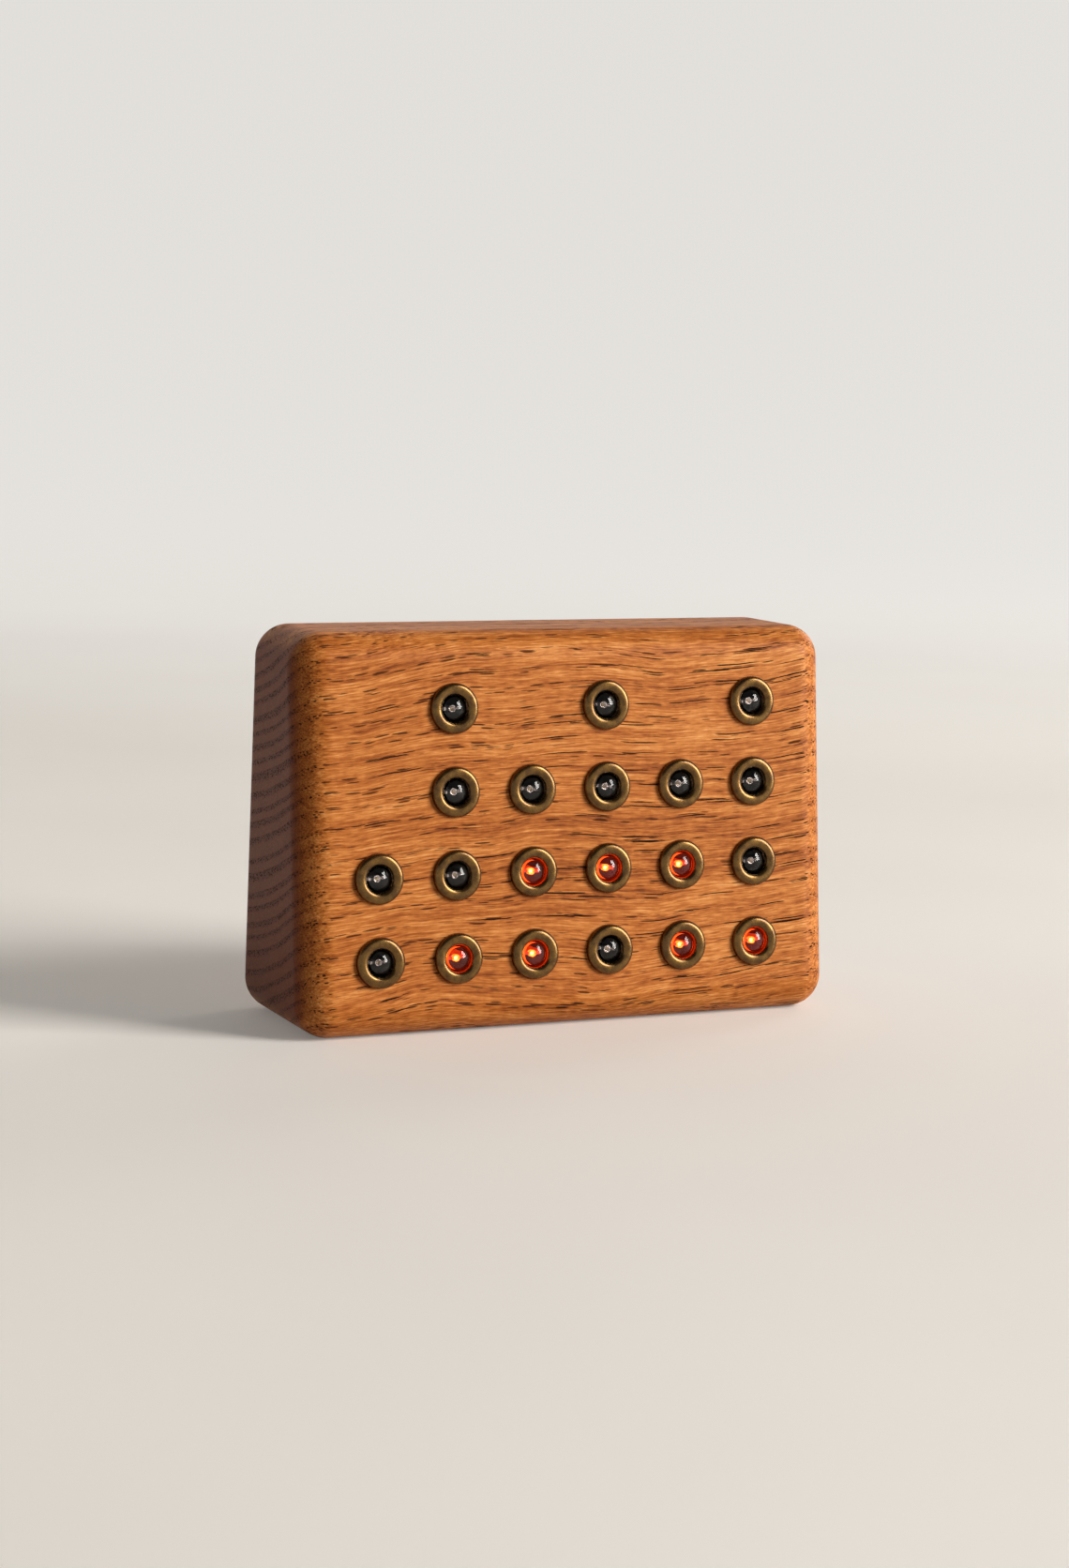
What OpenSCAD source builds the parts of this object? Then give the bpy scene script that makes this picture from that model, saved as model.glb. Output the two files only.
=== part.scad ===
// Binary clock: a solid oak block with twenty LEDs in brass eyelets, and the electronics behind them.
// The six columns are hour tens and ones, minute tens and ones, second tens and ones.
// The four rows are, from the bottom up, the bits worth 1, 2, 4 and 8.
// Origin: middle of the base. +Z is up, the face looks towards -Y, and +X is to the right of the viewer.
// All sizes are in millimetres and all angles in degrees.

/* [Oak block] */
// Width of the block
body_w = 127; // [124:0.5:150]
// Height of the block
body_h = 87; // [85:0.5:110]
// Depth of the base between its sharp edges
base_depth = 47.4; // [45:0.2:70]
// How far the face leans back
face_lean = 5.36; // [0:0.02:8]
// How far the rear leans forward
rear_lean = 3.9; // [0:0.1:6]
// Radius of the rounding along every edge
edge_r = 7.4; // [2:0.1:8]

/* [LED grid] */
// Spacing of the columns and rows
led_pitch = 18; // [17.5:0.1:18.5]
// Height of the grid's centre above the block's middle
grid_rise = 0.2; // [-0.5:0.1:6.5]
// Sideways offset of the grid from the block's middle
grid_shift = -1.2; // [-1.5:0.1:1.5]

/* [Brass bezels] */
// Outside diameter of the flange
bezel_d = 11.1; // [9.5:0.1:13]
// Inside diameter of the barrel
bezel_bore_d = 5.9; // [5.9:0.05:6.6]
// Thickness of the brass
bezel_sheet = 0.45; // [0.3:0.05:0.6]
// Length of the barrel below the face
barrel_len = 5; // [2:0.5:6]

/* [LEDs] */
// Diameter of the lens
led_d = 5; // [4.8:0.05:5.2]
// Diameter of the rim at the foot of the lens
led_rim_d = 5.8; // [5.4:0.05:5.9]
// Height of the rim
led_rim_t = 1; // [0.6:0.1:1.5]
// Length of the lens from its foot to the tip of its dome
led_len = 8.6; // [7.5:0.1:9.5]
// Height of the lens's low dome
led_dome_h = 0.9; // [0.5:0.1:2.4]
// How far the tip of the dome stands out of the face
led_proud = 1.3; // [0.5:0.1:1.6]
// Diameter of a leg
leg_d = 0.5; // [0.4:0.05:0.7]
// Spacing of the two legs, and of all header pins
pin_pitch = 2.54; // [2.54:0.01:2.6]

/* [Display board] */
// Thickness of every circuit board
board_t = 1.6; // [0.8:0.1:2]
// Board beyond the outer columns of the grid
board_side_margin = 5; // [4.5:0.1:5.5]
// Board beyond the top and bottom rows of the grid
board_end_margin = 3.25; // [3:0.05:3.5]
// Corner radius of the display board
board_r = 3; // [1:0.5:4]

/* [Plug-in modules] */
// Length of the controller board
controller_l = 43.2; // [42:0.1:46]
// Distance between the controller's two pin strips
controller_row_gap = 15.24; // [15:0.01:15.4]
// Number of pins in each of those strips
controller_pins = 15; // [12:1:15]
// Height of the socket strips
socket_strip_h = 8.5; // [7.5:0.5:9]
// Width of the socket and pin strips
strip_w = 2.5; // [2.2:0.05:2.54]
// Height of the plastic of a pin strip
pin_strip_h = 2.5; // [2.2:0.1:3]
// Height of the controller's middle above the grid's centre
controller_rise = 3.9; // [3.8:0.05:4]
// Length of the clock board
clock_board_l = 38; // [37:0.5:44]
// Width of the clock board
clock_board_w = 22; // [22:0.1:22.5]
// Drop of the clock board's middle below the grid's centre
clock_board_drop = 18; // [17.9:0.1:18.5]
// Number of pins that carry the clock board
clock_pins = 6; // [4:1:6]
// Diameter of the coin cell
cell_d = 20; // [16:0.5:20]
// Thickness of the coin cell
cell_t = 3.2; // [2:0.1:3.2]

/* [Rear cover] */
// Thickness of the cover
cover_t = 3; // [2:0.1:4]
// Width of the ledge that the cover rests on
ledge_w = 3.8; // [3.4:0.1:4]
// Gap around the cover
cover_gap = 0.2; // [0.1:0.05:0.5]
// Corner radius of the cover
cover_r = 5; // [2:0.5:5]
// Gap between the display board and the walls of the pocket
pocket_gap = 0.7; // [0.4:0.1:0.8]
// Corner radius of the pocket
pocket_r = 5; // [2:0.5:5]

/* [Screws] */
// Shank diameter of the wood screws
screw_d = 2.2; // [1.8:0.1:2.5]
// Head diameter of the wood screws
screw_head_d = 4.4; // [3.8:0.1:5]
// Head height of the wood screws
screw_head_h = 1.5; // [1:0.1:2]
// Length of the cover screws below the head
cover_screw_len = 10; // [8:0.5:12]
// Distance of the cover screws from the cover's edges
cover_screw_inset = 3.6; // [3.4:0.1:3.8]
// Length of the board screws below the head
board_screw_len = 6; // [5:0.5:7]

/* [Power socket] */
// Diameter of the socket's thread
inlet_thread_d = 8; // [7.5:0.1:9]
// Diameter of the socket's flange
inlet_flange_d = 10.6; // [10:0.1:12]
// Inside diameter of the mouth
inlet_bore_d = 5.7; // [5.6:0.05:6.2]
// Depth of the mouth
inlet_depth = 9.5; // [8:0.5:10]
// Diameter of the centre pin
inlet_pin_d = 2; // [1.9:0.05:2.5]
// Length of the socket behind the cover's outer face
inlet_len = 11.5; // [11:0.5:13]
// Distance of the socket's axis from the cover's side edge
inlet_side_inset = 14; // [12:0.5:16]
// Distance of the socket's axis from the cover's bottom edge
inlet_end_inset = 14; // [12:0.5:16]

/* [Set buttons] */
// Diameter of the switches' thread
switch_thread_d = 7; // [6.5:0.1:7.5]
// Diameter of the switches' flange
switch_flange_d = 9; // [8.5:0.1:11]
// Length of a switch behind the cover's outer face
switch_len = 11; // [9.5:0.5:12]
// Diameter of a button
button_d = 5; // [4:0.1:5.4]
// Height of a button above its flange
button_h = 2.5; // [2:0.1:4]
// Travel of a button
button_travel = 1; // [0.5:0.1:1.2]
// Clearance around a button, on the radius
button_gap = 0.08; // [0.03:0.01:0.1]
// Distance of the switches' axes from the cover's side edge
switch_side_inset = 14; // [12:0.5:15]
// Height of the hour button above the cover's middle
hour_button_rise = 20.75; // [18:0.25:22]
// Distance between the two buttons
button_spacing = 14; // [12.5:0.5:16]

/* [Small parts] */
// Thickness of the flanges on the cover
flange_t = 1.6; // [1:0.1:2]
// Thickness of the nuts
nut_t = 2; // [1.5:0.1:3]
// Length of the solder lugs
lug_len = 4; // [3:0.5:5]
// Diameter of the insulated wires
wire_d = 1.2; // [0.8:0.1:1.4]
// Clearance of fixed round fits, on the radius
fit_gap = 0.05; // [0.02:0.01:0.1]

/* [Hidden] */
$fn = 64;
hull_fn = 32;
overshoot = 1;

digits = ["hour_tens", "hour_ones", "minute_tens", "minute_ones", "second_tens", "second_ones"];
bits_of_digit = [2, 4, 3, 4, 3, 4];
bit_values = [1, 2, 4, 8];
columns = len(digits);
rows = len(bit_values);
// The lamps that are lit when the clock shows 01:32:31
lit_lamps = [
    "hour_ones_1", "minute_tens_1", "minute_tens_2", "minute_ones_2",
    "second_tens_1", "second_tens_2", "second_ones_1"
];
function lamp_name(digit, bit) = str(digits[digit], "_", bit_values[bit]);
function is_lit(name) = len([for (lit = lit_lamps) if (lit == name) lit]) > 0;
lamp_names = [for (d = [0 : columns - 1]) for (b = [0 : bits_of_digit[d] - 1]) lamp_name(d, b)];

// Height of the grid's centre above the base
grid_h = body_h / 2 + grid_rise;

// Centres of the lamps, along the face and up it, from the grid's centre
function lamp_x(column) = (column - (columns - 1) / 2) * led_pitch + grid_shift;
function lamp_z(row) = (row - (rows - 1) / 2) * led_pitch;

// Halfway between the first two and between the last two rows or columns
first_gap = 0.5;
last_row_gap = rows - 1.5;
last_column_gap = columns - 1.5;

// Side profile of the block, in (y, z): the four edge centres, in order from the front bottom edge
function face_y(z) = -base_depth / 2 + z * tan(face_lean);
function rear_y(z) = base_depth / 2 - z * tan(rear_lean);
function inset_face_y(z) = face_y(z) + edge_r / cos(face_lean);
function inset_rear_y(z) = rear_y(z) - edge_r / cos(rear_lean);
edge_centres = [
    [inset_face_y(edge_r), edge_r],
    [inset_rear_y(edge_r), edge_r],
    [inset_rear_y(body_h - edge_r), body_h - edge_r],
    [inset_face_y(body_h - edge_r), body_h - edge_r]
];
// Outward normals of the base, rear, top and face
side_normals = [
    [0, -1],
    [cos(rear_lean), sin(rear_lean)],
    [0, 1],
    [-cos(face_lean), sin(face_lean)]
];
flats_profile = [
    for (i = [0 : 3]) for (n = [side_normals[(i + 3) % 4], side_normals[i]]) edge_centres[i] + edge_r * n
];

// Bezels: the flange is rolled to a half round
bezel_roll_r = (bezel_d - bezel_bore_d) / 4;
barrel_r = bezel_bore_d / 2 + bezel_sheet;
lamp_bore_r = barrel_r + fit_gap;

// Radius of the ball that the lens's dome is a cap of
led_dome_r = (pow(led_d / 2, 2) + pow(led_dome_h, 2)) / (2 * led_dome_h);

// The feet of the LEDs and the front of the display board lie on the pocket's floor
face_wall = led_len - led_proud;
board_w = (columns - 1) * led_pitch + 2 * board_side_margin;
board_h = (rows - 1) * led_pitch + 2 * board_end_margin;
board_back = face_wall + board_t;
leg_hole_gap = 0.2;
leg_hole_r = leg_d / 2 + leg_hole_gap;
solder_spread = 0.65;
solder_h = 0.8;
leg_stub = 1.2;

// The pocket is cut straight along Y, level with the middle of the tilted display board
pocket_w = board_w + 2 * pocket_gap;
pocket_h = board_h + 2 * pocket_gap;
inner_h = grid_h - (face_wall + board_t / 2) * sin(face_lean);
cover_w = pocket_w + 2 * ledge_w;
cover_h = pocket_h + 2 * ledge_w;

screw_hole_r = screw_d / 2 + fit_gap;
screw_slot_w = 0.6;
screw_slot_l = 2.6;
screw_slot_depth = 1;
board_screw_places = [
    for (column = [0, columns - 1]) for (row = [first_gap, last_row_gap]) [lamp_x(column), lamp_z(row)]
];
cover_screw_places = [
    for (side = [-1, 1]) for (end = [-1, 1])
        [side * (cover_w / 2 - cover_screw_inset), end * (cover_h / 2 - cover_screw_inset)]
];

// Header pins and their holes
pin_t = 0.64;
pin_hole_r = 0.5;
pin_plug_len = 6;
slot_end_gap = 0.5;
pin_tip = 1;
pin_gap = 0.08;
socket_slot = pin_t + 2 * pin_gap;

// Modules, placed as someone looking at the rear sees them: x to the right, y up, z towards them
controller_w = controller_row_gap + strip_w;
controller_base = socket_strip_h + pin_strip_h;
controller_at = [0, controller_rise];
clock_board_at = [0, -clock_board_drop];
module_edge_gap = 0.25;
clock_strip_at = [-clock_board_l / 2 + strip_w / 2 + module_edge_gap, -clock_board_drop];
controller_chip = [7, 7, 1];
clock_chip = [7.5, 10.3, 2.3];
holder_end_gap = 1.5;
holder_wall = 0.8;
holder_floor = 0.8;
holder_r = cell_d / 2 + fit_gap + holder_wall;
cell_rise = 0.4;
holder_at = [clock_board_l / 2 - holder_r - holder_end_gap, -clock_board_drop];
clock_chip_at = [(clock_strip_at[0] + holder_at[0] - holder_r) / 2, -clock_board_drop];

// Resistors, in one row beside the controller
resistor_count = 6;
resistor_d = 2.3;
resistor_l = 6.3;
resistor_span = 4 * pin_pitch;
resistor_step = 3.2;
resistor_gap = 0.2;
resistor_lift = resistor_d / 2 + resistor_gap;
resistor_row_gap = 3.4;
first_resistor_x = controller_l / 2 + resistor_row_gap;

// Panel parts, placed on the cover as someone looking at the rear sees them
inlet_at = [-cover_w / 2 + inlet_side_inset, -cover_h / 2 + inlet_end_inset];
hour_switch_at = [cover_w / 2 - switch_side_inset, hour_button_rise];
minute_switch_at = hour_switch_at - [0, button_spacing];
nut_wall = 1.4;
lug_w = 2;
lug_t = 0.4;
inlet_lug_x = 2;
switch_lug_x = 1.8;
button_guide = 3.2;
button_foot = flange_t + button_guide;
button_edge_r = 0.6;
button_stop_gap = 0.3;
switch_bore_depth = button_foot + button_travel + button_stop_gap;

// Wires: the pads on the board lie in the squares between the lamps, seen from behind
wire_sides = 8;
wire_rings = 14;
wire_reach = 7;
pad_step = 3;
hour_pad_rise = 2.5;
minute_pad_drop = 5.5;
inlet_pad_rise = 3.5;
function pads_at(column, row, rise) =
    [for (side = [1, -1]) [side * pad_step / 2 - lamp_x(column), lamp_z(row) + rise]];
inlet_pads = pads_at(last_column_gap, first_gap, inlet_pad_rise);
hour_pads = pads_at(first_gap, last_row_gap, hour_pad_rise);
minute_pads = pads_at(first_gap, last_row_gap, -minute_pad_drop);

// ---- Frames ----

// Origin at the grid's centre on the face, y into the block, z up the face
module in_face_frame() {
    translate([0, face_y(grid_h), grid_h]) rotate([-face_lean, 0, 0]) children();
}

// Origin at the cover's middle on the rear, y out of the block, z up the rear
module in_rear_frame() {
    translate([0, rear_y(inner_h), inner_h]) rotate([rear_lean, 0, 0]) children();
}

// A lamp's place: z out of the face, from the surface of the oak
module at_lamp(digit, bit) {
    in_face_frame() translate([lamp_x(digit), 0, lamp_z(bit)]) rotate([90, 0, 0]) children();
}

module at_each_lamp() {
    for (d = [0 : columns - 1]) for (b = [0 : bits_of_digit[d] - 1]) at_lamp(d, b) children();
}

// The rear of the display board, as seen from behind: x right, y up, z away from the board
module on_board(at = [0, 0]) {
    in_face_frame() translate([-at[0], board_back, at[1]]) rotate([90, 0, 180]) children();
}

// The outside of the rear cover, as seen from behind: x right, y up, z away from the cover
module on_cover(at = [0, 0]) {
    in_rear_frame() translate([-at[0], 0, at[1]]) rotate([90, 0, 180]) children();
}

// The rear of the clock board, in the same sense
module on_clock_board(at) {
    on_board(at) translate([0, 0, pin_strip_h + board_t]) children();
}

// ---- Shapes ----

module along_x(length) {
    translate([-length / 2, 0, 0]) rotate([90, 0, 90]) linear_extrude(length) children();
}

module rounded_rectangle(w, h, r) {
    square([w, h - 2 * r], center = true);
    square([w - 2 * r, h], center = true);
    for (x = [-1, 1]) for (y = [-1, 1]) translate([x * (w / 2 - r), y * (h / 2 - r)]) circle(r = r);
}

module plate(w, h, r, t) {
    linear_extrude(t) rounded_rectangle(w, h, r);
}

module slab(size) {
    translate([-size[0] / 2, -size[1] / 2, 0]) cube(size);
}

// Round-head wood screw with a cross recess: z = 0 under the head, shank down
module wood_screw(length) {
    dome_r = (pow(screw_head_d / 2, 2) + pow(screw_head_h, 2)) / (2 * screw_head_h);
    difference() {
        union() {
            intersection() {
                cylinder(h = screw_head_h, d = screw_head_d);
                translate([0, 0, screw_head_h - dome_r]) sphere(r = dome_r);
            }
            translate([0, 0, -length]) cylinder(h = length, d = screw_d);
        }
        for (turn = [0, 90])
            rotate(turn) translate([0, 0, screw_head_h - screw_slot_depth])
                slab([screw_slot_l, screw_slot_w, screw_head_h]);
    }
}

module hex_nut(bore_d) {
    difference() {
        cylinder(h = nut_t, d = (bore_d + 2 * nut_wall) / cos(30), $fn = 6);
        translate([0, 0, -overshoot]) cylinder(h = nut_t + 2 * overshoot, r = bore_d / 2 + fit_gap);
    }
}

module pin_places(count) {
    for (i = [0 : count - 1]) translate([(i - (count - 1) / 2) * pin_pitch, 0, 0]) children();
}

// ---- Oak block ----

module rounded_block() {
    hull() {
        along_x(body_w - 2 * edge_r) polygon(flats_profile);
        along_x(body_w) polygon(edge_centres);
        for (side = [-1, 1], c = edge_centres)
            translate([side * (body_w / 2 - edge_r), c[0], c[1]]) sphere(r = edge_r, $fn = hull_fn);
    }
}

module pocket() {
    reach = 2 * base_depth;
    intersection() {
        translate([0, reach / 2, inner_h]) rotate([90, 0, 0]) plate(pocket_w, pocket_h, pocket_r, reach);
        in_face_frame() translate([-pocket_w, face_wall, -pocket_h])
            cube([2 * pocket_w, reach, 2 * pocket_h]);
    }
}

module cover_rebate() {
    on_cover() translate([0, 0, -cover_t])
        plate(cover_w + 2 * cover_gap, cover_h + 2 * cover_gap, cover_r + cover_gap, cover_t + overshoot);
}

module case_block() {
    color("#b9803f") difference() {
        rounded_block();
        pocket();
        cover_rebate();
        at_each_lamp() translate([0, 0, -face_wall - overshoot])
            cylinder(h = face_wall + 2 * overshoot, r = lamp_bore_r);
        for (at = board_screw_places)
            in_face_frame() translate([at[0], face_wall + overshoot, at[1]]) rotate([90, 0, 0])
                cylinder(h = board_screw_len - board_t + overshoot, r = screw_hole_r);
        for (at = cover_screw_places)
            on_cover(at) translate([0, 0, -cover_screw_len - fit_gap])
                cylinder(h = cover_screw_len, r = screw_hole_r);
    }
}

// ---- Lamps ----

module bezel() {
    roll_x = bezel_bore_d / 2 + bezel_roll_r;
    color("#7d6c3f") rotate_extrude() {
        translate([bezel_bore_d / 2, -barrel_len]) square([bezel_sheet, barrel_len]);
        translate([roll_x, 0]) intersection() {
            difference() {
                circle(r = bezel_roll_r);
                circle(r = bezel_roll_r - bezel_sheet);
            }
            translate([-bezel_roll_r, 0]) square([2 * bezel_roll_r, bezel_roll_r]);
        }
    }
}

// Lens with a domed end, and a rim with a flat on the cathode's side: z = 0 at the foot
module led(lit) {
    color(lit ? "#ff4a10" : "#d8dde0") {
        cylinder(h = led_len - led_dome_h, d = led_d);
        intersection() {
            translate([0, 0, led_len - led_dome_r]) sphere(r = led_dome_r);
            translate([0, 0, led_len - 2 * led_dome_h]) cylinder(h = 2 * led_dome_h, d = led_d);
        }
        intersection() {
            cylinder(h = led_rim_t, d = led_rim_d);
            translate([-led_d / 2, -led_rim_d / 2, 0]) cube([led_rim_d, led_rim_d, led_rim_t]);
        }
    }
}

module place_led(digit, bit) {
    at_lamp(digit, bit) translate([0, 0, -face_wall]) led(is_lit(lamp_name(digit, bit)));
}

module led_legs() {
    color("silver") at_each_lamp() for (side = [-1, 1])
        translate([side * pin_pitch / 2, 0, -face_wall]) mirror([0, 0, 1]) {
            cylinder(h = board_t + leg_stub, d = leg_d);
            translate([0, 0, board_t])
                cylinder(h = solder_h, r1 = leg_d / 2 + solder_spread, r2 = leg_d / 2);
        }
}

// ---- Display board and what it carries ----

module display_board() {
    color("#1d5c38") difference() {
        on_board() translate([0, 0, -board_t]) plate(board_w, board_h, board_r, board_t);
        at_each_lamp() for (side = [-1, 1])
            translate([side * pin_pitch / 2, 0, -board_back - overshoot])
                cylinder(h = board_t + 2 * overshoot, r = leg_hole_r);
        for (at = board_screw_places)
            in_face_frame() translate([at[0], board_back + overshoot, at[1]]) rotate([90, 0, 0])
                cylinder(h = board_t + 2 * overshoot, r = screw_hole_r + fit_gap);
    }
}

module board_screws() {
    color("silver") for (at = board_screw_places) on_board([-at[0], at[1]]) wood_screw(board_screw_len);
}

module controller_strip_places() {
    for (side = [-1, 1]) on_board(controller_at + [0, side * controller_row_gap / 2]) children();
}

module header_sockets() {
    slot_depth = pin_plug_len + slot_end_gap;
    color("#1a1a1a") controller_strip_places() difference() {
        slab([controller_pins * pin_pitch, strip_w, socket_strip_h]);
        pin_places(controller_pins) translate([0, 0, socket_strip_h - slot_depth])
            slab([socket_slot, socket_slot, slot_depth + overshoot]);
    }
}

// Plastic strip with square pins that reach below it and stand through the board above it
module pin_strip(count, below) {
    slab([count * pin_pitch, strip_w, pin_strip_h]);
    pin_places(count) translate([0, 0, -below])
        slab([pin_t, pin_t, below + pin_strip_h + board_t + pin_tip]);
}

module pin_headers() {
    color("#2a2a2a") {
        controller_strip_places() translate([0, 0, socket_strip_h])
            pin_strip(controller_pins, pin_plug_len);
        on_board(clock_strip_at) rotate(90) pin_strip(clock_pins, 0);
    }
}

module pin_holes(count) {
    pin_places(count) translate([0, 0, -overshoot]) cylinder(h = board_t + 2 * overshoot, r = pin_hole_r);
}

module controller_board() {
    color("#12406b") difference() {
        on_board(controller_at) translate([0, 0, controller_base])
            slab([controller_l, controller_w, board_t]);
        controller_strip_places() translate([0, 0, controller_base]) pin_holes(controller_pins);
    }
}

module clock_board() {
    color("#12406b") difference() {
        on_board(clock_board_at) translate([0, 0, pin_strip_h])
            slab([clock_board_l, clock_board_w, board_t]);
        on_board(clock_strip_at) translate([0, 0, pin_strip_h]) rotate(90) pin_holes(clock_pins);
    }
}

module module_chips() {
    color("#202020") {
        on_board(controller_at) translate([0, 0, controller_base + board_t])
            rotate(45) slab(controller_chip);
        on_clock_board(clock_chip_at) slab(clock_chip);
    }
}

module coin_holder() {
    color("#242424") on_clock_board(holder_at) difference() {
        cylinder(h = holder_floor + cell_t - cell_rise, r = holder_r);
        translate([0, 0, holder_floor]) cylinder(h = cell_t + overshoot, r = cell_d / 2 + fit_gap);
        translate([0, 0, holder_floor]) slab([cell_d / 2, 3 * holder_r, cell_t + overshoot]);
    }
}

module coin_cell() {
    color("gainsboro") on_clock_board(holder_at) translate([0, 0, holder_floor])
        cylinder(h = cell_t, d = cell_d);
}

// Axial resistor: body along y, with bent leads that stand on the board
module resistor() {
    translate([0, 0, resistor_lift]) rotate([90, 0, 0]) {
        cylinder(h = resistor_l, d = resistor_d, center = true);
        cylinder(h = resistor_span, d = leg_d, center = true);
    }
    for (end = [-1, 1]) translate([0, end * resistor_span / 2, 0]) {
        cylinder(h = resistor_lift, d = leg_d);
        translate([0, 0, resistor_lift]) sphere(d = leg_d);
    }
}

module resistors() {
    color("#c9a06a") for (i = [0 : resistor_count - 1])
        on_board([first_resistor_x + i * resistor_step, 0]) resistor();
}

// ---- Rear cover and panel parts ----

module rear_cover() {
    color("#b07a3c") difference() {
        on_cover() translate([0, 0, -cover_t]) plate(cover_w, cover_h, cover_r, cover_t);
        for (at = cover_screw_places) on_cover(at) cover_hole(screw_hole_r + fit_gap);
        on_cover(inlet_at) cover_hole(inlet_thread_d / 2 + fit_gap);
        for (at = [hour_switch_at, minute_switch_at])
            on_cover(at) cover_hole(switch_thread_d / 2 + fit_gap);
    }
}

module cover_hole(r) {
    translate([0, 0, -cover_t - overshoot]) cylinder(h = cover_t + 2 * overshoot, r = r);
}

module cover_screws() {
    color("#7d6c3f") for (at = cover_screw_places) on_cover(at) wood_screw(cover_screw_len);
}

// Two solder lugs behind a panel part whose body ends at the given depth
module lugs(depth, x) {
    for (side = [-1, 1]) translate([side * x, 0, -depth - lug_len]) slab([lug_t, lug_w, lug_len]);
}

module power_socket() {
    mouth_floor = flange_t - inlet_depth;
    color("#1c1c1c") on_cover(inlet_at) {
        difference() {
            union() {
                cylinder(h = flange_t, d = inlet_flange_d);
                translate([0, 0, -inlet_len]) cylinder(h = inlet_len, d = inlet_thread_d);
            }
            translate([0, 0, mouth_floor]) cylinder(h = inlet_depth + overshoot, d = inlet_bore_d);
        }
        translate([0, 0, mouth_floor]) cylinder(h = inlet_depth - flange_t / 2, d = inlet_pin_d);
        lugs(inlet_len, inlet_lug_x);
    }
}

module switch_body() {
    difference() {
        union() {
            cylinder(h = flange_t, d = switch_flange_d);
            translate([0, 0, -switch_len]) cylinder(h = switch_len, d = switch_thread_d);
        }
        translate([0, 0, flange_t - switch_bore_depth])
            cylinder(h = switch_bore_depth + overshoot, r = button_d / 2 + button_gap);
    }
    lugs(switch_len, switch_lug_x);
}

module set_switches() {
    color("#1c1c1c") for (at = [hour_switch_at, minute_switch_at]) on_cover(at) switch_body();
}

module panel_nuts() {
    color("silver") {
        on_cover(inlet_at) translate([0, 0, -cover_t - nut_t]) hex_nut(inlet_thread_d);
        for (at = [hour_switch_at, minute_switch_at])
            on_cover(at) translate([0, 0, -cover_t - nut_t]) hex_nut(switch_thread_d);
    }
}

// Round push button with a softened rim: z = 0 at the flange's outer face
module button() {
    r = button_d / 2;
    rotate_extrude() {
        translate([0, -button_foot]) square([r, button_foot + button_h - button_edge_r]);
        square([r - button_edge_r, button_h]);
        translate([r - button_edge_r, button_h - button_edge_r]) intersection() {
            circle(r = button_edge_r);
            square(button_edge_r);
        }
    }
}

module place_button(at) {
    color("#2b2b2b") on_cover(at) translate([0, 0, flange_t]) button();
}

// ---- Wiring ----

function turn_x(v, a) = [v[0], v[1] * cos(a) - v[2] * sin(a), v[1] * sin(a) + v[2] * cos(a)];
function board_point(at, z) =
    [0, face_y(grid_h), grid_h] + turn_x([-at[0], board_back + z, at[1]], -face_lean);
function cover_point(at, z) = [0, rear_y(inner_h), inner_h] + turn_x([-at[0], z, at[1]], rear_lean);
function bezier(p, t) =
    pow(1 - t, 3) * p[0] + 3 * t * pow(1 - t, 2) * p[1] + 3 * t * t * (1 - t) * p[2] + pow(t, 3) * p[3];
function slope(p, t) =
    pow(1 - t, 2) * (p[1] - p[0]) + 2 * t * (1 - t) * (p[2] - p[1]) + t * t * (p[3] - p[2]);
function unit(v) = v / norm(v);

// A round wire along a Bezier curve, square to what it meets at both ends
module wire(p) {
    rings = [
        for (i = [0 : wire_rings]) let (
            t = i / wire_rings,
            ahead = unit(slope(p, t)),
            side = unit(cross(ahead, [1, 0, 0])),
            up = cross(side, ahead)
        ) for (k = [0 : wire_sides - 1]) let (a = 360 * k / wire_sides)
            bezier(p, t) + wire_d / 2 * (cos(a) * side + sin(a) * up)
    ];
    last = wire_rings * wire_sides;
    walls = [
        for (i = [0 : wire_rings - 1]) for (k = [0 : wire_sides - 1]) let (
            a = i * wire_sides + k,
            b = i * wire_sides + (k + 1) % wire_sides
        ) each [[a, b, b + wire_sides], [a, b + wire_sides, a + wire_sides]]
    ];
    caps = [
        [for (k = [0 : wire_sides - 1]) wire_sides - 1 - k],
        [for (k = [0 : wire_sides - 1]) last + k]
    ];
    polyhedron(points = rings, faces = concat(walls, caps));
}

module wire_pair(at, depth, lug_x, pads) {
    for (i = [0, 1]) {
        start = at + [(i == 0 ? 1 : -1) * lug_x, 0];
        wire([
            cover_point(start, -depth - lug_len),
            cover_point(start, -depth - lug_len - wire_reach),
            board_point(pads[i], wire_reach),
            board_point(pads[i], 0)
        ]);
    }
}

module wiring() {
    color("#a02020") {
        wire_pair(inlet_at, inlet_len, inlet_lug_x, inlet_pads);
        wire_pair(hour_switch_at, switch_len, switch_lug_x, hour_pads);
        wire_pair(minute_switch_at, switch_len, switch_lug_x, minute_pads);
    }
}

// ---- Nodes ----

case_block();
rear_cover();
cover_screws();
for (d = [0 : columns - 1]) for (b = [0 : bits_of_digit[d] - 1]) {
    at_lamp(d, b) bezel();
    place_led(d, b);
}
led_legs();
display_board();
board_screws();
header_sockets();
pin_headers();
controller_board();
clock_board();
module_chips();
coin_holder();
coin_cell();
resistors();
power_socket();
set_switches();
panel_nuts();
place_button(hour_switch_at);  // hour_button
place_button(minute_switch_at);  // minute_button
wiring();
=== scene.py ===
"""Looks of the oak binary clock: materials, finer meshes, floor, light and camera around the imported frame.

Metres, in the CAD frame: origin in the middle of the base, +Z up, the face towards -Y.
"""

import math

import bmesh
import bpy
from mathutils import Matrix, Vector


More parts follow.
